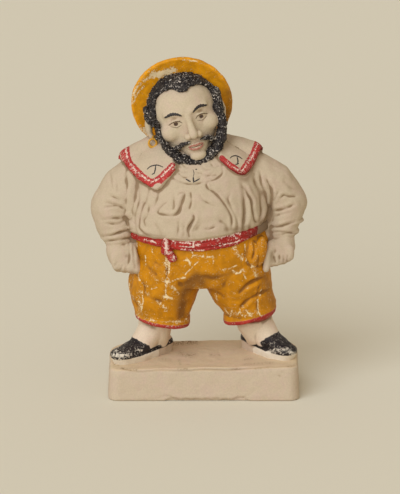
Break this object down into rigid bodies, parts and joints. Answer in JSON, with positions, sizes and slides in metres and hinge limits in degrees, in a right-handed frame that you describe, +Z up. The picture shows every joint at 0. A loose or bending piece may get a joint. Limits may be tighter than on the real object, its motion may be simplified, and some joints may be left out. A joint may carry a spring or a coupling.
{
  "type": "chalkware sailor figure",
  "caption": "Squat bearded sailor with fists at the hips, cast in painted plaster in one piece with its block, straw hat behind the head, flapped collar, sash and knee breeches.",
  "frame": {"origin": "centre of the block's underside", "axes": "+Z up; the figure faces -Y; +X is the viewer's right"},
  "size_m": [0.1941, 0.0968, 0.3062],
  "materials": {
    "painted_plaster": "matt worn paint"
  },
  "bodies": {
    "root": {"sailor_figure": "painted_plaster"}
  },
  "joints": []
}
